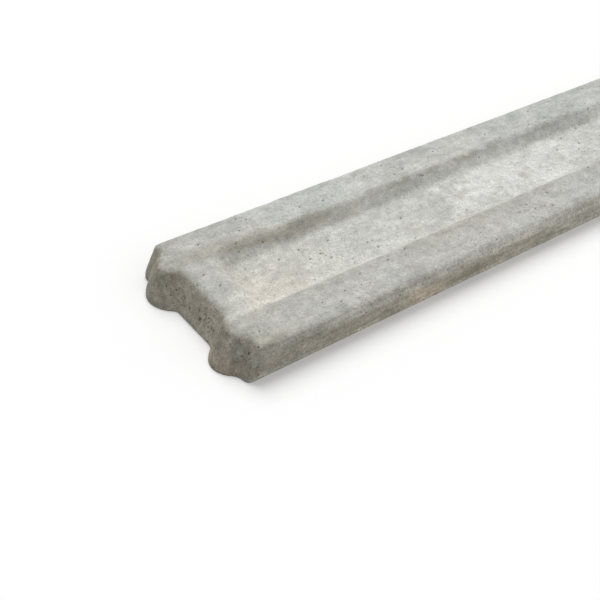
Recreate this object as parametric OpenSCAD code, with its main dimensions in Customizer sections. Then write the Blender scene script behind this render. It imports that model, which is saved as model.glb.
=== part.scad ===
// Concrete gravel board for a slotted-post fence: one cast slab with a recessed
// panel in its upper face and two rounded lugs on each end.
// It lies flat, recess up: X runs along the board, Y across it, Z up.
// The origin is in the middle of the underside, and the front is the -Y side.

/* [Board] */
// Overall length, measured over the end lugs
board_l = 1830; // [900:10:3050]
// Width across the board
board_w = 305; // [250:1:450]
// Thickness from underside to rails
board_t = 50; // [44:1:80]

/* [Long edges] */
// Radius along the front upper edge
front_edge_r = 17; // [3:1:20]
// Radius along the back upper edge
back_edge_r = 6; // [3:1:20]

/* [Ends] */
// Upright part of the end face, above the underside
end_foot_h = 1; // [0:0.5:8]
// Radius that turns the end face from upright to its lean
end_foot_r = 20; // [5:1:30]
// Lean of the end face from the vertical
end_lean = 32; // [5:1:40]
// Radius where the end face rolls into the top
end_lip_r = 18; // [3:1:24]
// Radius of the upright corners at the foot
corner_r = 13; // [2:1:20]
// Radius of the upright corners at the top
corner_top_r = 2; // [1:0.5:20]

/* [End lugs] */
// Radius of the front lug at its foot
front_lug_r = 36.5; // [25:0.5:60]
// Distance from the front side to the middle of the front lug, at its foot
front_lug_inset = 56; // [45:1:75]
// How far the front lug stands out from the end face, at its foot
front_lug_out = 22.5; // [10:0.5:30]
// Fillet between the front lug and the end face
front_lug_fillet_r = 24; // [3:1:30]
// Radius of the front lug at its top
front_lug_top_r = 38; // [25:1:60]
// Distance from the front side to the middle of the front lug, at its top
front_lug_top_inset = 65; // [45:1:80]
// How far the front lug stands out at its top
front_lug_top_out = 15; // [8:0.5:30]
// Radius of the back lug at its foot
back_lug_r = 49; // [25:1:80]
// Distance from the back side to the middle of the back lug, at its foot
back_lug_inset = 69; // [50:1:85]
// How far the back lug stands out from the end face, at its foot
back_lug_out = 24; // [10:0.5:30]
// Fillet between the back lug and the end face
back_lug_fillet_r = 11; // [3:1:30]
// Radius of the back lug at its top
back_lug_top_r = 34; // [25:1:65]
// Distance from the back side to the middle of the back lug, at its top
back_lug_top_inset = 55; // [45:1:80]
// How far the back lug stands out at its top
back_lug_top_out = 20; // [8:0.5:30]

/* [Recess] */
// Width of each long rail, to the edge of the recess
rail_w = 76; // [50:1:100]
// Depth of the recess
recess_d = 20; // [8:1:28]
// Horizontal run of the recess walls
wall_run = 21; // [10:1:40]
// Distance from the foot of the end face to the edge of the recess
recess_end = 72; // [50:1:200]
// Radius of the recess floor's corners
floor_corner_r = 18; // [6:1:30]
// Radius along the recess edge
recess_lip_r = 15; // [2:1:20]
// Fillet between the recess floor and its walls
recess_fillet_r = 14; // [2:1:20]

/* [Hidden] */
$fn = 96;
// Overshoot that lets a cut run clear of the face it opens
over = 1;
half_l = board_l / 2;
half_w = board_w / 2;
// X of the end face's foot, either side of the middle
foot_x = half_l - max(front_lug_out, back_lug_out);
// Size of the recess floor and its corner centres
floor_l = 2 * (foot_x - recess_end - wall_run);
floor_w = 2 * (half_w - rail_w - wall_run);
wall_angle = atan2(recess_d, wall_run);
// How far the corner arcs run past the board's sides, so that the cut opens cleanly
corner_clear = 0.05;
// Least room left for a corner beside a lug
side_room = 1;
// Steps up the end face's profile, and round a lug's crown, its fillets and the corners
foot_steps = 3;
lean_steps = 2;
lip_steps = 6;
crown_steps = 14;
fillet_steps = 4;
corner_steps = 4;

// Where the lean starts and ends, as [distance in from the foot, height]
lean_start = [end_foot_r * (1 - cos(end_lean)), end_foot_h + end_foot_r * sin(end_lean)];
lean_top_z = board_t - end_lip_r * (1 - sin(end_lean));
lean_top = [lean_start.x + (lean_top_z - lean_start.y) * tan(end_lean), lean_top_z];
top_in = lean_top.x + end_lip_r * cos(end_lean);

// The end face's profile from foot to top, run clear of the slab below and above
end_profile = concat(
    [[0, -over]],
    [for (i = [0 : foot_steps - 1]) let (a = end_lean * i / foot_steps)
        [end_foot_r * (1 - cos(a)), end_foot_h + end_foot_r * sin(a)]],
    [for (i = [0 : lean_steps - 1]) lean_start + (lean_top - lean_start) * i / lean_steps],
    [for (i = [0 : lip_steps]) let (a = end_lean + (90 - end_lean) * i / lip_steps)
        lean_top + end_lip_r * [cos(end_lean) - cos(a), sin(a) - sin(end_lean)]],
    [[top_in, board_t + over]]
);

// A value that goes from the foot's to the top's, from the upright foot up to the top face
function between(foot, top, z) =
    foot + (top - foot) * min(max((z - end_foot_h) / (board_t - end_foot_h), 0), 1);

// A lug at height z, as [middle's inset from its own side, radius, stand-out, fillet]
function front_lug(z) = [
    between(front_lug_inset, front_lug_top_inset, z),
    between(front_lug_r, front_lug_top_r, z),
    between(front_lug_out, front_lug_top_out, z),
    front_lug_fillet_r
];
function back_lug(z) = [
    between(back_lug_inset, back_lug_top_inset, z),
    between(back_lug_r, back_lug_top_r, z),
    between(back_lug_out, back_lug_top_out, z),
    back_lug_fillet_r
];

// Plan of a lug as [distance in from its side, distance out of the end face]: fillet, crown, fillet.
// The fillet is limited by the room between the crown and the board's side.
function lug_points(lug) =
    let (
        inset = lug[0], r = lug[1], out = lug[2],
        widest_f = ((inset - side_room) ^ 2 / out + out) / 2 - r,
        f = min(lug[3], widest_f),
        turn = acos((r - out + f) / (r + f)),
        reach = (r + f) * sin(turn)
    )
    concat(
        [for (i = [0 : fillet_steps - 1]) let (a = turn * i / fillet_steps)
            [inset - reach + f * sin(a), f - f * cos(a)]],
        [for (i = [0 : crown_steps]) let (a = turn * (2 * i / crown_steps - 1))
            [inset + r * sin(a), out - r + r * cos(a)]],
        [for (i = [fillet_steps - 1 : -1 : 0]) let (a = turn * i / fillet_steps)
            [inset + reach - f * sin(a), f - f * cos(a)]]
    );

// Plan of half an end at height z, from the board's side inwards: the corner, then the lug.
// The corner's radius is limited by the room between the side and the lug.
function side_points(lug, z) =
    let (bump = lug_points(lug), r = min(between(corner_r, corner_top_r, z), bump[0].x))
    concat(
        [[-over, -r]],
        [for (i = [0 : corner_steps]) let (a = 90 - 90 * i / corner_steps)
            [r - corner_clear - r * sin(a), r * cos(a) - r]],
        bump
    );

// Plan of a whole end at height z as [y, distance out of the end face], from front to back
function end_points(z) =
    let (front = side_points(front_lug(z), z), back = side_points(back_lug(z), z))
    concat(
        [for (p = front) [p.x - half_w, p.y]],
        [for (i = [len(back) - 1 : -1 : 0]) [half_w - back[i].x, back[i].y]]
    );

// Cutter for one end: its inner face is lofted through the plan at each level of the profile
module end_cut() {
    rows = concat(
        [for (p = end_profile) [for (q = end_points(p.y)) [foot_x - p.x + q.y, q.x, p.y]]],
        [for (z = [board_t + over, -over]) [for (q = end_points(z)) [half_l + over, q.x, z]]]
    );
    n = len(rows);
    m = len(rows[0]);
    skin = [
        for (i = [0 : n - 1], j = [0 : m - 2])
            let (a = i * m + j, b = (i + 1) % n * m + j) each [[a, b + 1, b], [a, a + 1, b + 1]]
    ];
    sides = [
        for (i = [0 : n - 3])
            let (a = i * m, b = a + m, last = (n - 1) * m, back = m - 1)
                each [[a, b, last], [b + back, a + back, last + back]]
    ];
    polyhedron([for (row = rows) each row], concat(skin, sides), convexity = 6);
}

// Section from the board's middle to one side, with an upper edge of that radius
module half_section(edge_r) {
    square([half_w, board_t - edge_r]);
    square([half_w - edge_r, board_t]);
    translate([half_w - edge_r, board_t - edge_r]) circle(r = edge_r);
}

// Section across the board, its front on the left
module cross_section() {
    half_section(back_edge_r);
    mirror([1, 0]) half_section(front_edge_r);
}

// Bar with that section, as long as the board
module long_bar() {
    translate([-half_l, 0, 0])
        rotate([90, 0, 90])
            linear_extrude(height = board_l) cross_section();
}

// Section of the recess wall, from the corner centre outwards; z = 0 is the top face
module wall_section() {
    lip_run = recess_lip_r * tan(wall_angle / 2);
    fillet_run = recess_fillet_r * tan(wall_angle / 2);
    edge = floor_corner_r + wall_run;
    lip_foot = [edge - lip_run * cos(wall_angle), -lip_run * sin(wall_angle)];
    fillet_top = [floor_corner_r + fillet_run * cos(wall_angle), fillet_run * sin(wall_angle) - recess_d];
    difference() {
        polygon([
            [0, -recess_d],
            [floor_corner_r - fillet_run, -recess_d],
            fillet_top,
            lip_foot,
            [edge + lip_run, 0],
            [edge + lip_run, over],
            [0, over],
        ]);
        translate([edge + lip_run, -recess_lip_r]) circle(r = recess_lip_r);
    }
    intersection() {
        translate([floor_corner_r - fillet_run, recess_fillet_r - recess_d]) circle(r = recess_fillet_r);
        translate([0, -recess_d]) square([edge, recess_d]);
    }
}

// The recess, as the shape that is taken out of the slab
module recess() {
    straight_l = floor_l - 2 * floor_corner_r;
    straight_w = floor_w - 2 * floor_corner_r;
    translate([0, 0, board_t]) {
        for (end = [0, 1], side = [0, 1])
            mirror([end, 0, 0])
                mirror([0, side, 0])
                    translate([straight_l / 2, straight_w / 2, 0])
                        rotate_extrude() wall_section();
        for (side = [0, 1])
            mirror([0, side, 0])
                translate([-straight_l / 2, straight_w / 2, 0])
                    rotate([90, 0, 90])
                        linear_extrude(height = straight_l) wall_section();
        for (end = [0, 1])
            mirror([end, 0, 0])
                translate([straight_l / 2, straight_w / 2, 0])
                    rotate([90, 0, 0])
                        linear_extrude(height = straight_w) wall_section();
        translate([-straight_l / 2, -straight_w / 2, -recess_d])
            cube([straight_l, straight_w, recess_d + over]);
    }
}

module gravel_board() {
    color([0.72, 0.73, 0.70])
        difference() {
            long_bar();
            for (end = [0, 1]) mirror([end, 0, 0]) end_cut();
            recess();
        }
}

gravel_board();
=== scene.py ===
import math

import bmesh
import bpy
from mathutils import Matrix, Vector


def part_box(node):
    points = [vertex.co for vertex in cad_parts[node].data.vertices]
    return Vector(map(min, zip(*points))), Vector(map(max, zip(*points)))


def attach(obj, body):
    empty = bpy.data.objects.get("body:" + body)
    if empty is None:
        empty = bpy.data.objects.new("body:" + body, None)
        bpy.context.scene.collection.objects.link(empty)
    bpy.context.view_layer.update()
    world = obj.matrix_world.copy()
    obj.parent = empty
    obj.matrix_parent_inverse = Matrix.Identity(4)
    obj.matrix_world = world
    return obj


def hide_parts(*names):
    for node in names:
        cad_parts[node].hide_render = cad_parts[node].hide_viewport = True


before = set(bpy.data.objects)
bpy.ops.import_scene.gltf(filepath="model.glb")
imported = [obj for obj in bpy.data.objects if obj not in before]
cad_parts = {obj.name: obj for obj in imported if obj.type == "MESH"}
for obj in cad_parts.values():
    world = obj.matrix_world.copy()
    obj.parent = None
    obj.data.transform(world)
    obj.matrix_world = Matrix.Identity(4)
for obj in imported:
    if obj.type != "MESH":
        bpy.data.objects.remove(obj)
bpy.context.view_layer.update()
scene = bpy.context.scene
scene.view_settings.view_transform = "Standard"

# --- Cast slab -------------------------------------------------------------------------
# One piece of grey concrete, cast in a mould, with a flat back that is its underside here.
# The upper face is streaked and pitted, and the arrises have softened and chipped a little.
slab_low, slab_high = (Vector(corner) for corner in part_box("gravel_board"))
LUG_OUT = 0.024  # how far the lugs stand out from the foot of the end face
FOOT_X = slab_high.x - LUG_OUT
GRID = 0.0033  # pitch of the even mesh that takes the fine relief
STRETCH = 0.015  # how far the foot is drawn below the bed while that mesh is made
WELD = 1e-6  # vertices closer than this are one
ON_BED = 1e-5  # a vertex this close to the underside's plane lies in it

slab_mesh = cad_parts["gravel_board"].data.copy()
slab_mesh.name = "cast_slab"
slab = bpy.data.objects.new("cast_slab", slab_mesh)
scene.collection.objects.link(slab)
shape = bmesh.new()
shape.from_mesh(slab_mesh)
bmesh.ops.remove_doubles(shape, verts=shape.verts, dist=WELD)
# The upright foot is drawn out below the bed, so that the even grid keeps its edge crisp.
for vert in shape.verts:
    if vert.co.z < slab_low.z + ON_BED:
        vert.co.z -= STRETCH
shape.to_mesh(slab_mesh)
shape.free()
even_grid = slab.modifiers.new("even grid", "REMESH")
even_grid.mode = "VOXEL"
even_grid.voxel_size = GRID


def settle(piece):
    """Turns a piece and its modifiers into a plain mesh."""
    evaluated = piece.evaluated_get(bpy.context.evaluated_depsgraph_get())
    mesh = bpy.data.meshes.new_from_object(evaluated)
    piece.modifiers.clear()
    piece.data = mesh
    return mesh


# The underside is the slab's flat back, so it is one plain face.
even_mesh = settle(slab)
shape = bmesh.new()
shape.from_mesh(even_mesh)
everything = shape.verts[:] + shape.edges[:] + shape.faces[:]
bmesh.ops.bisect_plane(shape, geom=everything, dist=ON_BED, plane_co=(0, 0, slab_low.z), plane_no=(0, 0, 1),
                       clear_inner=True)
foot_edges = [edge for edge in shape.edges if edge.is_boundary]
bmesh.ops.triangle_fill(shape, edges=foot_edges, use_beauty=True, normal=(0, 0, -1))
bmesh.ops.recalc_face_normals(shape, faces=shape.faces)
shape.to_mesh(even_mesh)
shape.free()


def link(tree, source, target):
    """Joins an output socket, or a plain value, to an input socket."""
    if hasattr(source, "is_output"):
        tree.links.new(source, target)
    else:
        target.default_value = source


def node(tree, kind, sockets=(), **settings):
    """Adds a node, sets its properties, and fills its inputs by name or place."""
    made = tree.nodes.new(kind)
    for name, value in settings.items():
        setattr(made, name, value)
    for key, value in dict(sockets).items():
        link(tree, value, made.inputs[key])
    return made


def maths(tree, operation, *values):
    return node(tree, "ShaderNodeMath", dict(enumerate(values)), operation=operation).outputs[0]


def product(tree, result, *factors):
    for factor in factors:
        result = maths(tree, "MULTIPLY", result, factor)
    return result


def total(tree, result, *parts):
    for part in parts:
        result = maths(tree, "ADD", result, part)
    return result


def stretched(tree, place, *factors):
    """A place with each axis scaled, so that a pattern is drawn out along the axis below one."""
    return node(tree, "ShaderNodeVectorMath", {0: place, 1: factors}, operation="MULTIPLY").outputs[0]


def ramp(tree, value, start, end, low=0.0, high=1.0):
    """Goes smoothly from low to high while the value goes from start to end."""
    sockets = {0: value, 1: start, 2: end, 3: low, 4: high}
    return node(tree, "ShaderNodeMapRange", sockets, interpolation_type="SMOOTHSTEP").outputs[0]


def noise(tree, place, scale, seed, detail=2.0, rough=0.5):
    """A noise of its own for each seed. The scale is in lumps to the metre."""
    sockets = {"Vector": place, "W": seed, "Scale": scale, "Detail": detail, "Roughness": rough}
    return node(tree, "ShaderNodeTexNoise", sockets, noise_dimensions="4D").outputs[0]


def random_share(tree, seed, low=0.0, high=1.0):
    """A random value of its own for each vertex or face."""
    made = node(tree, "FunctionNodeRandomValue", {2: low, 3: high, "Seed": seed}, data_type="FLOAT")
    return next(output for output in made.outputs if output.type == "VALUE")


# Surface: a tree that wears, waves and pits the even mesh, with its depths in metres. Each
# pair is where an effect starts and where it is full, by height or by distance from the middle.
BED_EDGE = (0.0005, 0.012)
LIP_OUT = (0.862, 0.876)
LIP_UP = (0.026, 0.040)
END_FACE_OUT = (0.866, 0.872)
BETWEEN_LUGS = (0.085, 0.055)
PORES_FROM = 0.005  # height below which a blowhole would cut the foot's edge
surface = bpy.data.node_groups.new("cast surface", "GeometryNodeTree")
panel = surface.interface
panel.new_socket("Geometry", in_out="INPUT", socket_type="NodeSocketGeometry")
for name, value in (("Waviness", 0.0005), ("Lip lumps", 0.0016), ("Grain relief", 0.0004),
                    ("Arris wear", 0.6), ("Pore share", 0.021), ("Pore depth", 0.002),
                    ("Void share", 0.0016), ("Void depth", 0.0016)):
    panel.new_socket(name, in_out="INPUT", socket_type="NodeSocketFloat").default_value = value
panel.new_socket("Seed", in_out="INPUT", socket_type="NodeSocketInt").default_value = 7
panel.new_socket("Concrete", in_out="INPUT", socket_type="NodeSocketMaterial")
panel.new_socket("Geometry", in_out="OUTPUT", socket_type="NodeSocketGeometry")
given = {output.name: output for output in surface.nodes.new("NodeGroupInput").outputs}
point = node(surface, "GeometryNodeInputPosition").outputs[0]
normal = node(surface, "GeometryNodeInputNormal").outputs[0]
point_x, point_y, height = node(surface, "ShaderNodeSeparateXYZ", {0: point}).outputs
to_end = maths(surface, "ABSOLUTE", point_x)
to_side = maths(surface, "ABSOLUTE", point_y)
off_bed = ramp(surface, height, *BED_EDGE)

# Arrises: the mesh is eased where a slow noise says that the edge has worn.
eased = node(surface, "GeometryNodeBlurAttribute", {"Value": point, "Iterations": 4},
             data_type="FLOAT_VECTOR")
wear = product(surface, ramp(surface, noise(surface, point, 45.0, seed=1, detail=3.0), 0.46, 0.66),
               given["Arris wear"], off_bed)
worn = node(surface, "ShaderNodeMix", {"Factor": wear, "A": point, "B": eased.outputs["Value"]},
            data_type="VECTOR")
eased_slab = node(surface, "GeometryNodeSetPosition",
                  {"Geometry": given["Geometry"], "Position": worn.outputs["Result"]})

# Waves left by the mould, a fine grain, and lumps along the ends' lips, all of them inwards
# of the true face.
wave = ramp(surface, noise(surface, stretched(surface, point, 0.4, 1.0, 1.0), 14.0, seed=2), 0.3, 0.7)
grain = noise(surface, point, 110.0, seed=3)
lump = product(surface, ramp(surface, noise(surface, point, 42.0, seed=5), 0.35, 0.65),
               ramp(surface, to_end, *LIP_OUT), ramp(surface, height, *LIP_UP))

# Voids: here and there one vertex is drawn in, which leaves a dimple as wide as two faces.
# They come in loose crowds, and most of all in the end face between the lugs.
crowd = ramp(surface, noise(surface, point, 16.0, seed=4, detail=1.0), 0.45, 0.7, 0.25, 3.0)
end_crowd = product(surface, ramp(surface, to_end, *END_FACE_OUT),
                    ramp(surface, to_side, *BETWEEN_LUGS, 0.0, 4.0))
crowd = total(surface, crowd, end_crowd)
void_here = maths(surface, "LESS_THAN", random_share(surface, given["Seed"]),
                  product(surface, given["Void share"], crowd))
void_here = product(surface, void_here, off_bed)
depth = total(surface, product(surface, wave, given["Waviness"]),
              product(surface, grain, given["Grain relief"]),
              product(surface, lump, given["Lip lumps"]),
              product(surface, void_here, given["Void depth"]))
void_marked = node(surface, "GeometryNodeStoreNamedAttribute",
                   {"Geometry": eased_slab.outputs[0], "Name": "void", "Value": void_here},
                   data_type="FLOAT", domain="POINT")
inward = node(surface, "ShaderNodeVectorMath", {0: normal, "Scale": product(surface, depth, off_bed, -1.0)},
              operation="SCALE").outputs[0]
grained_slab = node(surface, "GeometryNodeSetPosition",
                    {"Geometry": void_marked.outputs[0], "Offset": inward})

# Blowholes: a few faces in each thousand, in the same crowds, are drawn in to small pits.
pore_here = maths(surface, "LESS_THAN", random_share(surface, given["Seed"]),
                  product(surface, given["Pore share"], crowd))
pore_here = product(surface, pore_here, maths(surface, "GREATER_THAN", height, PORES_FROM))
mouth = node(surface, "GeometryNodeExtrudeMesh", {"Mesh": grained_slab.outputs[0], "Selection": pore_here,
                                                  "Offset Scale": 0.0, "Individual": True})
narrowed = node(surface, "GeometryNodeScaleElements",
                {"Geometry": mouth.outputs["Mesh"], "Selection": mouth.outputs["Top"],
                 "Scale": random_share(surface, given["Seed"], 0.25, 0.8)})
pore = node(surface, "GeometryNodeExtrudeMesh",
            {"Mesh": narrowed.outputs[0], "Selection": mouth.outputs["Top"],
             "Offset Scale": product(surface, given["Pore depth"], -1.0), "Individual": True})
tapered = node(surface, "GeometryNodeScaleElements",
               {"Geometry": pore.outputs["Mesh"], "Selection": pore.outputs["Top"], "Scale": 0.6})
in_pore = node(surface, "FunctionNodeBooleanMath", {0: pore.outputs["Top"], 1: pore.outputs["Side"]},
               operation="OR")
pore_marked = node(surface, "GeometryNodeStoreNamedAttribute",
                   {"Geometry": tapered.outputs[0], "Name": "pore", "Value": in_pore.outputs[0]},
                   data_type="FLOAT", domain="FACE")

# The bed face stays flat, which keeps the edge round it sharp.
facing_up = node(surface, "ShaderNodeSeparateXYZ", {0: normal}).outputs["Z"]
off_bed_face = maths(surface, "GREATER_THAN", facing_up, -0.95)
smooth = node(surface, "GeometryNodeSetShadeSmooth",
              {"Geometry": pore_marked.outputs[0], "Shade Smooth": off_bed_face})
whole = node(surface, "GeometryNodeRealizeInstances", {"Geometry": smooth.outputs[0]})
coated = node(surface, "GeometryNodeSetMaterial",
              {"Geometry": whole.outputs[0], "Material": given["Concrete"]})
surface.links.new(coated.outputs[0], surface.nodes.new("NodeGroupOutput").inputs[0])

# Concrete: grey cement with a pink, cream and blue cast in turn. The recess is paler and streaked along,
# with painted shade on its end wall and front wall. The ends are brown with dirt and painted shade, with
# painted light at the foot, and dirt and painted shade lie along the back wall.
# Its colours are linear red, green and blue.
COOL_CEMENT = (0.484, 0.494, 0.472, 1)
WARM_CEMENT = (0.505, 0.504, 0.470, 1)
HANDLED_GREY = (0.405, 0.402, 0.368, 1)
FRONT_RAIL_GREY = (0.415, 0.405, 0.375, 1)
BACK_EDGE_GREY = (0.395, 0.400, 0.375, 1)
CORNER_DUSK = (0.350, 0.345, 0.310, 1)
ARRIS_DIRT = (0.500, 0.475, 0.395, 1)
RAIL_BLUSH = (0.435, 0.400, 0.365, 1)
RECESS_GREY = (0.538, 0.540, 0.505, 1)
CREAM = (0.625, 0.590, 0.520, 1)
WHITE_BLOOM = (0.658, 0.661, 0.624, 1)
SPILT_CREAM = (0.628, 0.597, 0.535, 1)
CREST_PAINTED_SHADE = (0.475, 0.455, 0.405, 1)
POOLED_CREAM = (0.665, 0.630, 0.565, 1)
SLOPE_PAINTED_SHADE = (0.455, 0.445, 0.405, 1)
FILLET_PAINTED_SHADE = (0.485, 0.463, 0.410, 1)
BLOT_BROWN = (0.415, 0.405, 0.345, 1)
RIDGE_WHITE = (0.660, 0.655, 0.610, 1)
RUBBED_DIRT = (0.385, 0.373, 0.335, 1)
MARK_BROWN = (0.360, 0.315, 0.250, 1)
TIDE_DIRT_AND_SHADE = (0.375, 0.357, 0.300, 1)
HEAPED_DIRT = (0.345, 0.345, 0.320, 1)
GRIME = (0.290, 0.275, 0.225, 1)
END_BROWN = (0.360, 0.334, 0.271, 1)
END_DARK = (0.275, 0.255, 0.203, 1)
END_FOOT_PAINTED_LIGHT = (0.440, 0.415, 0.345, 1)
HOLLOW_PAINTED_SHADE = (0.225, 0.205, 0.160, 1)
BACK_LUG_PAINTED_SHADE = (0.268, 0.252, 0.202, 1)
FRONT_LUG_PAINTED_SHADE = (0.292, 0.276, 0.236, 1)
TAN_STAIN = (0.385, 0.335, 0.260, 1)
SHOULDER_PAINTED_LIGHT = (0.585, 0.585, 0.545, 1)
SIDE_PALE = (0.632, 0.608, 0.540, 1)
SIDE_BY_END = (0.402, 0.382, 0.328, 1)
SIDE_LOW = (0.530, 0.500, 0.412, 1)
SIDE_LOW_BY_END = (0.450, 0.424, 0.350, 1)
OLIVE_STAIN = (0.425, 0.395, 0.305, 1)
PINK_STAIN = (0.660, 0.575, 0.455, 1)
SIDE_MIDDLE = (0.600, 0.580, 0.505, 1)
ARRIS_SHADOW = (0.400, 0.385, 0.340, 1)
CRUMBLED_DIRT = (0.435, 0.420, 0.355, 1)
STRIPE_PALE = (0.745, 0.710, 0.620, 1)
SIDE_FOOT_PAINTED_LIGHT = (0.680, 0.640, 0.540, 1)
CORNER_PAINTED_SHADE = (0.395, 0.375, 0.315, 1)
WORN_SIDE = (0.520, 0.500, 0.445, 1)
UNDERSIDE_DARK = (0.440, 0.440, 0.408, 1)
UNDERSIDE_PALE = (0.475, 0.474, 0.438, 1)
# Dark specks: cells to the metre, the share of cells without one, the widest in cells, and
# how dark it is.
SPECKS = ((95.0, 0.78, 0.19, 0.68), (210.0, 0.68, 0.26, 0.5), (330.0, 0.55, 0.30, 0.38))

concrete = bpy.data.materials.new("grey concrete")
concrete.use_nodes = True
skin = concrete.node_tree
shader = skin.nodes["Principled BSDF"]
spot = node(skin, "ShaderNodeTexCoord").outputs["Object"]
along, across, up = node(skin, "ShaderNodeSeparateXYZ", {0: spot}).outputs


def plus(*parts):
    return total(skin, *parts)


def minus(value, less):
    return maths(skin, "SUBTRACT", value, less)


def times(*factors):
    return product(skin, *factors)


def either(first, second):
    return maths(skin, "MAXIMUM", first, second)


def fade(value, *limits):
    """Nothing at the first limit and full at the second, or from the third value to the fourth."""
    return ramp(skin, value, *limits)


def swing(pattern, width):
    """Turns a noise into an uneven shift to either side, that wide in all."""
    return times(minus(pattern, 0.5), width)


def cover(colour, mask, over, strength=1.0):
    """Lays a second colour over the first where the mask is, that strongly."""
    if strength != 1.0:
        mask = times(mask, strength)
    made = node(skin, "ShaderNodeMix", {"Factor": mask, "A": colour, "B": over}, data_type="RGBA")
    return made.outputs["Result"]


# Places on the slab, in metres: in from the nearer end's foot and from the left end's foot,
# across from the middle, to either side of it, and up from the bed.
PLACES = {
    "inside": minus(FOOT_X, maths(skin, "ABSOLUTE", along)),
    "from_left": plus(along, FOOT_X),
    "across": across,
    "off_middle": maths(skin, "ABSOLUTE", across),
    "up": up,
}
inside = PLACES["inside"]
off_middle = PLACES["off_middle"]


def zone(**limits):
    """Part of the slab: nothing at the first limit and full at the second. With four limits it is
    full up to the third, and nothing again at the last."""
    masks = []
    for name, where in limits.items():
        masks.append(fade(PLACES[name], *where[:2]))
        if len(where) == 4:
            masks.append(fade(PLACES[name], where[3], where[2]))
    return times(*masks)


# Patterns that the colours share: clouds, patches, torn edges, and stains along the slab.
cloud = noise(skin, spot, 7.0, seed=11, detail=3.0, rough=0.6)
patch = noise(skin, spot, 17.0, seed=12, detail=3.0, rough=0.6)
torn = noise(skin, spot, 38.0, seed=34, detail=4.0, rough=0.7)
drawn_out = stretched(skin, spot, 0.22, 1.0, 1.0)
stain = noise(skin, drawn_out, 26.0, seed=13, detail=4.0, rough=0.65)
colour = cover(COOL_CEMENT, fade(cloud, 0.38, 0.62), WARM_CEMENT)

# Rails and lips: greyer towards the ends, and the front rail a little darker and pinker.
handled = times(zone(inside=(0.22, 0.04)), fade(patch, 0.3, 0.6, 0.7, 1.0))
colour = cover(colour, handled, HANDLED_GREY, 0.6)
front_rail = times(zone(across=(-0.070, -0.078)), fade(patch, 0.35, 0.65, 0.55, 1.0),
                   fade(inside, 0.60, 0.68, 1.0, 0.35))
colour = cover(colour, front_rail, FRONT_RAIL_GREY, 0.55)
back_edge = times(zone(across=(0.126, 0.142)), fade(inside, 0.46, 0.34, 0.30, 0.62),
                  fade(inside, 0.05, 0.13, 0.35, 1.0))
colour = cover(colour, back_edge, BACK_EDGE_GREY)
corner = zone(across=(-0.082, -0.100), inside=(0.090, 0.030))
colour = cover(colour, corner, CORNER_DUSK, 0.45)
arris = times(zone(across=(-0.118, -0.138), inside=(0.14, 0.05)), fade(patch, 0.30, 0.55, 0.6, 1.0))
colour = cover(colour, arris, ARRIS_DIRT, 0.65)
blush = times(zone(inside=(0.38, 0.45, 0.56, 0.64), across=(-0.112, -0.094, -0.078, -0.074)),
              fade(stain, 0.35, 0.6))
colour = cover(colour, blush, RAIL_BLUSH, 0.7)

# Recess: paler than the rails, cream towards each end and white with bloom further in.
sunk = zone(up=(0.049, 0.036), across=(-0.0730, -0.0570, 0.0700, 0.0760), inside=(0.060, 0.074))
colour = cover(colour, sunk, RECESS_GREY, 0.95)
cream = times(sunk, zone(inside=(0.30, 0.10)), fade(across, 0.060, 0.0, 0.30, 1.0),
              fade(patch, 0.30, 0.60, 0.4, 1.0))
colour = cover(colour, cream, CREAM, 0.9)
ragged = minus(plus(inside, swing(patch, 0.32), swing(torn, 0.16)), times(across, 0.9))
ragged = plus(ragged, fade(along, 0.0, 0.2, 0.0, 0.07))
bloom = times(sunk, fade(ragged, 0.500, 0.555), zone(inside=(0.93, 0.78)), fade(patch, 0.38, 0.54, 0.3, 1.0),
              fade(plus(across, swing(torn, 0.05)), 0.063, 0.036, 0.1, 1.0))
colour = cover(colour, bloom, WHITE_BLOOM, 0.95)
spill = times(zone(across=(-0.086, -0.070, -0.046, -0.022), inside=(0.038, 0.056, 0.095, 0.135)),
              fade(patch, 0.30, 0.55, 0.55, 1.0))
colour = cover(colour, spill, SPILT_CREAM, 0.62)
# Painted shade: the top of the recess's end wall is darkened where the key light falls on it.
crest = zone(inside=(0.064, 0.076, 0.092, 0.104), across=(-0.080, -0.070, -0.030, 0.010))
colour = cover(colour, crest, CREST_PAINTED_SHADE, 0.6)
pool = times(sunk, zone(inside=(0.096, 0.112, 0.15, 0.20), across=(0.004, -0.016)),
             fade(patch, 0.30, 0.55, 0.6, 1.0))
colour = cover(colour, pool, POOLED_CREAM, 0.6)
# Painted shade: the recess's front wall and end wall, turned to the key light, are darkened.
front_slope = zone(across=(-0.049, -0.056), inside=(0.078, 0.112))
end_slope = zone(inside=(0.060, 0.075, 0.094, 0.104), across=(-0.035, 0.005))
slopes = times(either(front_slope, end_slope), zone(up=(0.0480, 0.0410)))
colour = cover(colour, slopes, SLOPE_PAINTED_SHADE, 0.55)
# Painted shade: the fillet at the foot of the recess's end wall is darkened.
end_fillet_painted_shade = times(zone(inside=(0.082, 0.094, 0.102, 0.118), up=(0.042, 0.034)),
                   fade(across, -0.030, 0.006, 0.4, 1.0))
colour = cover(colour, end_fillet_painted_shade, FILLET_PAINTED_SHADE, 0.6)
blot = times(sunk, zone(inside=(0.15, 0.22)), fade(noise(skin, spot, 24.0, seed=31), 0.62, 0.70))
colour = cover(colour, blot, BLOT_BROWN, 0.40)
ridge = times(sunk, zone(across=(-0.040, -0.050), inside=(0.13, 0.22)), fade(stain, 0.35, 0.6))
colour = cover(colour, ridge, RIDGE_WHITE, 0.25)

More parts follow.
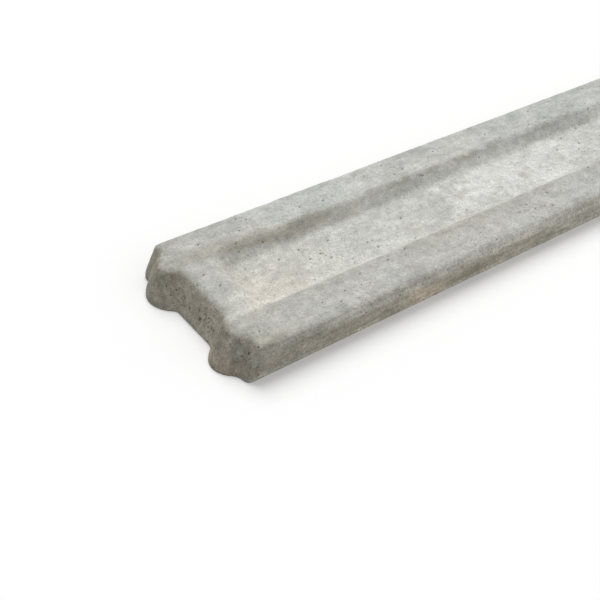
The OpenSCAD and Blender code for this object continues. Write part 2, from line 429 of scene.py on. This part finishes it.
# Front rail: rubbed dirt ends sharply at the edge of the recess.
wavering = plus(across, swing(torn, 0.012))
rubbed = times(fade(wavering, -0.0738, -0.0762), zone(across=(-0.122, -0.078), up=(0.040, 0.046)),
               fade(stain, 0.35, 0.65, 0.45, 0.95), fade(inside, 0.60, 0.40, 0.6, 1.0),
               fade(inside, 0.09, 0.20, 0.25, 1.0))
colour = cover(colour, rubbed, RUBBED_DIRT)
marks = times(fade(wavering, -0.0745, -0.0770), zone(across=(-0.094, -0.086)), fade(stain, 0.56, 0.66))
colour = cover(colour, marks, MARK_BROWN, 0.6)

# Back wall: a brown band of dirt and painted shade, heavier and higher up near the ends.
tide_level = plus(across, times(zone(inside=(0.08, 0.26)), 0.016), swing(stain, 0.012))
tide_dirt_and_shade = times(fade(tide_level, 0.110, 0.087), fade(tide_level, 0.066, 0.078),
             fade(noise(skin, drawn_out, 90.0, seed=33), 0.35, 0.55, 0.7, 1.0),
             either(zone(inside=(0.40, 0.28)), fade(stain, 0.50, 0.68, 0.05, 0.26)),
             fade(inside, 0.0, 0.07, 0.3, 0.85))
colour = cover(colour, tide_dirt_and_shade, TIDE_DIRT_AND_SHADE)
heap = times(fade(plus(PLACES["from_left"], times(torn, 0.05)), 0.680, 0.714), zone(from_left=(0.732, 0.702)),
             zone(across=(0.070, 0.078)), fade(plus(across, times(torn, 0.008)), 0.098, 0.089))
colour = cover(colour, heap, HEAPED_DIRT, 0.7)
grime = times(zone(across=(0.0680, 0.0745, 0.0800, 0.0875), inside=(0.05, 0.12)), fade(patch, 0.53, 0.62))
colour = cover(colour, grime, GRIME, 0.5)

# Ends: brown-grey face and lugs, with painted shade on the lugs and darkest in the hollow beside the front
# lug, and painted light that makes the foot paler.
frayed = swing(torn, 0.012)
end = times(fade(plus(up, frayed, times(patch, 0.004)), 0.0512, 0.0455),
            zone(inside=(0.060, 0.045), off_middle=(0.1525, 0.1500)))
end_colour = cover(END_BROWN, fade(patch, 0.50, 0.68), END_DARK)
# Painted light: the foot of the end between the lugs is lightened.
end_foot_painted_light = times(zone(up=(0.017, 0.006), off_middle=(0.095, 0.060)), fade(across, 0.045, 0.010, 0.45, 1.0))
end_colour = cover(end_colour, end_foot_painted_light, END_FOOT_PAINTED_LIGHT, 0.85)
# Painted shade: the hollow beside the front lug is darkened.
hollow = zone(across=(-0.100, -0.088, -0.066, -0.038), up=(0.008, 0.020))
end_colour = cover(end_colour, hollow, HOLLOW_PAINTED_SHADE, 0.75)
# Painted shade: the back lug is darkened in patches.
back_lug_painted_shade = times(zone(across=(0.058, 0.076)), fade(across, 0.140, 0.112, 0.2, 1.0),
                 fade(patch, 0.35, 0.6, 0.5, 0.95))
end_colour = cover(end_colour, back_lug_painted_shade, BACK_LUG_PAINTED_SHADE)
# Painted shade: the end between the front lug and the front corner is darkened.
front_lug_painted_shade = zone(across=(-0.095, -0.110), up=(0.012, 0.024))
end_colour = cover(end_colour, front_lug_painted_shade, FRONT_LUG_PAINTED_SHADE, 0.75)
tan = times(fade(cloud, 0.50, 0.64), zone(up=(0.030, 0.012), inside=(0.004, -0.006)))
end_colour = cover(end_colour, tan, TAN_STAIN, 0.65)
colour = cover(colour, end, end_colour)

# Long sides: a pale stripe under the arris, brown, pink and olive below it, darker at the ends, with painted
# light on the arris and at the foot, and painted shade by the corners.
# Painted light: the rounded arris along each long edge is lightened.
shoulder = zone(off_middle=(0.1360, 0.1450), up=(0.0499, 0.0485), inside=(0.08, 0.16))
colour = cover(colour, shoulder, SHOULDER_PAINTED_LIGHT, 0.75)
side = times(zone(off_middle=(0.1450, 0.1490)), fade(plus(up, times(frayed, 0.6)), 0.0470, 0.0415))
side_colour = cover(SIDE_PALE, zone(inside=(0.20, 0.09)), SIDE_BY_END)
low_colour = cover(SIDE_LOW, zone(inside=(0.22, 0.16)), SIDE_LOW_BY_END)
low_colour = cover(low_colour, fade(stain, 0.50, 0.62), OLIVE_STAIN)
pink = times(fade(plus(inside, times(stain, 0.06)), 0.30, 0.335), zone(inside=(0.38, 0.34)))
low_colour = cover(low_colour, either(pink, fade(cloud, 0.60, 0.68)), PINK_STAIN)
side_colour = cover(side_colour, fade(plus(up, swing(stain, 0.018)), 0.031, 0.025), low_colour)
middle = times(fade(plus(inside, times(patch, 0.06)), 0.58, 0.66), fade(stain, 0.30, 0.55, 0.6, 1.0))
side_colour = cover(side_colour, middle, SIDE_MIDDLE, 0.75)
under_arris = times(zone(up=(0.0350, 0.0385, 0.0410, 0.0440), inside=(0.36, 0.28)), fade(stain, 0.40, 0.56))
side_colour = cover(side_colour, under_arris, ARRIS_SHADOW, 0.5)
crumbled = times(zone(up=(0.0485, 0.0455), inside=(0.60, 0.68)),
                 fade(plus(up, times(torn, 0.008)), 0.036, 0.041), fade(torn, 0.38, 0.56, 0.45, 1.0))
side_colour = cover(side_colour, crumbled, CRUMBLED_DIRT, 0.7)
stripe = times(zone(up=(0.0255, 0.0290, 0.0345, 0.0375), inside=(0.22, 0.30)), fade(stain, 0.30, 0.46),
               fade(inside, 0.66, 0.58, 0.2, 1.0))
side_colour = cover(side_colour, stripe, STRIPE_PALE, 0.7)
# Painted light: the foot of each side is lightened.
side_colour = cover(side_colour, zone(up=(0.007, 0.002)), SIDE_FOOT_PAINTED_LIGHT, 0.5)
# Painted shade: the side beside each corner is darkened.
by_corner_painted_shade = times(zone(inside=(0.032, 0.014)), fade(up, 0.018, 0.026, 0.35, 0.85))
side_colour = cover(side_colour, by_corner_painted_shade, CORNER_PAINTED_SHADE)
worn_on = zone(inside=(0.31, 0.34, 0.46, 0.52), up=(0.022, 0.026))
side_colour = cover(side_colour, worn_on, WORN_SIDE, 0.5)
colour = cover(colour, side, side_colour)

# Underside: plain grey, with none of the dirt that has fallen into the recess.
plain = cover(UNDERSIDE_DARK, fade(patch, 0.35, 0.65), UNDERSIDE_PALE)
colour = cover(colour, zone(up=(0.0006, 0.0002)), plain)

# Mottling at every scale, grit, lumps dragged along the sides, long streaks, and scratches
# across the recess near its ends. Each is a factor on the colour.
bare = either(end, side)
mottle = fade(noise(skin, spot, 12.0, seed=21, detail=6.0, rough=0.95), 0.25, 0.75, 0.76, 1.24)
grit = fade(noise(skin, spot, 300.0, seed=25, detail=3.0, rough=0.9), 0.36, 0.58, -1.0, 0.45)
grit = plus(times(grit, fade(bare, 0.0, 1.0, 0.195, 0.30)), 1.01)
lumps = fade(noise(skin, spot, 90.0, seed=27, detail=3.0, rough=0.7), 0.3, 0.7, -1.0, 1.0)
lumps = times(lumps, fade(side, 0.0, 1.0, 0.18, 0.12), either(bare, 0.45))
drags = fade(noise(skin, stretched(skin, spot, 0.14, 1.0, 1.0), 150.0, seed=28), 0.3, 0.7, -0.13, 0.13)
lumps = plus(lumps, times(drags, side), 1.0)
streak = fade(noise(skin, stretched(skin, spot, 0.45, 1.0, 1.0), 75.0, seed=22, detail=3.0, rough=0.8),
              0.25, 0.75, 0.88, 1.12)
scratch = fade(noise(skin, stretched(skin, spot, 1.0, 0.16, 1.0), 190.0, seed=26), 0.3, 0.7, -0.13, 0.13)
scratch = times(scratch, zone(inside=(0.180, 0.095), off_middle=(0.078, 0.060)), fade(inside, 0.045, 0.066),
                fade(patch, 0.42, 0.58))
scratch = plus(scratch, 1.0)

# Dark specks of three sizes, in loose crowds, and painted shade in the modelled pores and voids.
crowding = plus(fade(noise(skin, spot, 15.0, seed=23), 0.42, 0.66, 0.35, 1.2),
                times(end, fade(off_middle, 0.08, 0.05, 0.0, 0.6)))
dark = 0.0
for scale, rarity, widest, darkness in SPECKS:
    cells = node(skin, "ShaderNodeTexVoronoi", {"Vector": spot, "Scale": scale}).outputs
    cell_chance = node(skin, "ShaderNodeSeparateXYZ", {0: cells["Color"]}).outputs[0]
    speck_size = times(fade(cell_chance, rarity, 1.0, 0.0, widest), crowding)
    speck = fade(minus(speck_size, cells["Distance"]), -0.02, 0.06)
    dark = either(dark, times(speck, darkness))
# Painted shade: the faces of the modelled pores and voids are darkened.
for attribute, darkness in (("pore", 0.55), ("void", 0.6)):
    sunk_in = node(skin, "ShaderNodeAttribute", attribute_name=attribute).outputs["Fac"]
    dark = either(dark, times(sunk_in, darkness))

tone = times(mottle, grit, lumps, streak, scratch, minus(1.0, dark))
toned = node(skin, "ShaderNodeVectorMath", {0: colour, "Scale": tone}, operation="SCALE").outputs[0]
fine = noise(skin, spot, 420.0, seed=24, detail=4.0, rough=0.7)
relief = minus(plus(fine, times(mottle, 0.8)), times(dark, 3.0))
bump = node(skin, "ShaderNodeBump", {"Strength": 0.6, "Distance": 0.0006, "Height": relief})
link(skin, toned, shader.inputs["Base Color"])
link(skin, fade(mottle, 0.8, 1.2, 0.97, 0.84), shader.inputs["Roughness"])
link(skin, bump.outputs[0], shader.inputs["Normal"])

casting = slab.modifiers.new("cast surface", "NODES")
casting.node_group = surface
for item in surface.interface.items_tree:
    if item.item_type == "SOCKET" and item.in_out == "INPUT" and item.name == "Concrete":
        casting[item.identifier] = concrete
settle(slab)
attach(slab, "root")
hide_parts("gravel_board")

# --- Studio ---------------------------------------------------------------------------
# The slab lies on pale paper in a soft white room. A broad key light stands behind it on
# the right, a weak fill in front, and the camera looks down on it from its left end.
SENSOR_WIDTH = 36.0
LENS = 54.17
CAMERA_PLACE = (-1.3480, -0.9195, 0.8558)
LOOK_DOWN = 38.516  # degrees below the horizon
HEADING = 54.589  # degrees from the slab's length, turning towards its back
PAPER_REACH = 30.0
PAPER_SEEN = (0.95, 0.95, 0.95, 1)
PAPER_LIT = (0.30, 0.30, 0.30, 1)  # how much light it gives back to the slab
ROOM_SEEN = 1.0
ROOM_LIT = 0.5
KEY_AZIMUTH = 60
KEY_ELEVATION = 50
KEY_SLANT = 0.766  # sine of that elevation
KEY_LIGHT = 0.5  # share of white that the key lays on a level face
KEY_SPREAD = 40
FILL_LIGHT = 0.15
FILL_SPREAD = 70
FILL_FROM = Vector((0.5, -0.8, 0.33))

camera_data = bpy.data.cameras.new("camera")
camera_data.sensor_width = SENSOR_WIDTH
camera_data.lens = LENS
camera = bpy.data.objects.new("camera", camera_data)
scene.collection.objects.link(camera)
camera.location = CAMERA_PLACE
camera.rotation_euler = (math.radians(90 - LOOK_DOWN), 0, math.radians(HEADING - 90))
scene.camera = camera


def seen_itself(tree):
    """Full for what the camera sees or a face mirrors, and nothing for the light it gives."""
    ray = node(tree, "ShaderNodeLightPath").outputs
    mirrored = maths(tree, "MAXIMUM", ray["Is Glossy Ray"], ray["Is Transmission Ray"])
    return maths(tree, "MAXIMUM", ray["Is Camera Ray"], mirrored)


paper = bpy.data.materials.new("pale floor")
paper.use_nodes = True
paper_tree = paper.node_tree
paper_shader = paper_tree.nodes["Principled BSDF"]
paper_shader.inputs["Roughness"].default_value = 1.0
paper_colour = node(paper_tree, "ShaderNodeMix",
                    {"Factor": seen_itself(paper_tree), "A": PAPER_LIT, "B": PAPER_SEEN}, data_type="RGBA")
link(paper_tree, paper_colour.outputs["Result"], paper_shader.inputs["Base Color"])
floor_mesh = bpy.data.meshes.new("floor")
floor_corners = [(x * PAPER_REACH, y * PAPER_REACH, 0) for x, y in ((-1, -1), (1, -1), (1, 1), (-1, 1))]
floor_mesh.from_pydata(floor_corners, [], [(0, 1, 2, 3)])
floor_mesh.materials.append(paper)
floor = bpy.data.objects.new("floor", floor_mesh)
scene.collection.objects.link(floor)

world = bpy.data.worlds.new("soft white room")
scene.world = world
world.use_nodes = True
room = world.node_tree
air = room.nodes["Background"]
air.inputs["Color"].default_value = (1, 1, 1, 1)
link(room, ramp(room, seen_itself(room), 0.0, 1.0, ROOM_LIT, ROOM_SEEN), air.inputs["Strength"])


def soft_light(name, share, spread, towards):
    """A broad light from that direction, as a share of white on a face turned to it."""
    light = bpy.data.lights.new(name, "SUN")
    light.energy = share * math.pi
    light.angle = math.radians(spread)
    lamp = bpy.data.objects.new(name, light)
    scene.collection.objects.link(lamp)
    lamp.rotation_euler = towards.to_track_quat("Z", "Y").to_euler()


azimuth, elevation = math.radians(KEY_AZIMUTH), math.radians(KEY_ELEVATION)
key_from = Vector((math.cos(elevation) * math.cos(azimuth), math.cos(elevation) * math.sin(azimuth),
                   math.sin(elevation)))
soft_light("key", KEY_LIGHT / KEY_SLANT, KEY_SPREAD, key_from)
soft_light("fill", FILL_LIGHT, FILL_SPREAD, FILL_FROM)
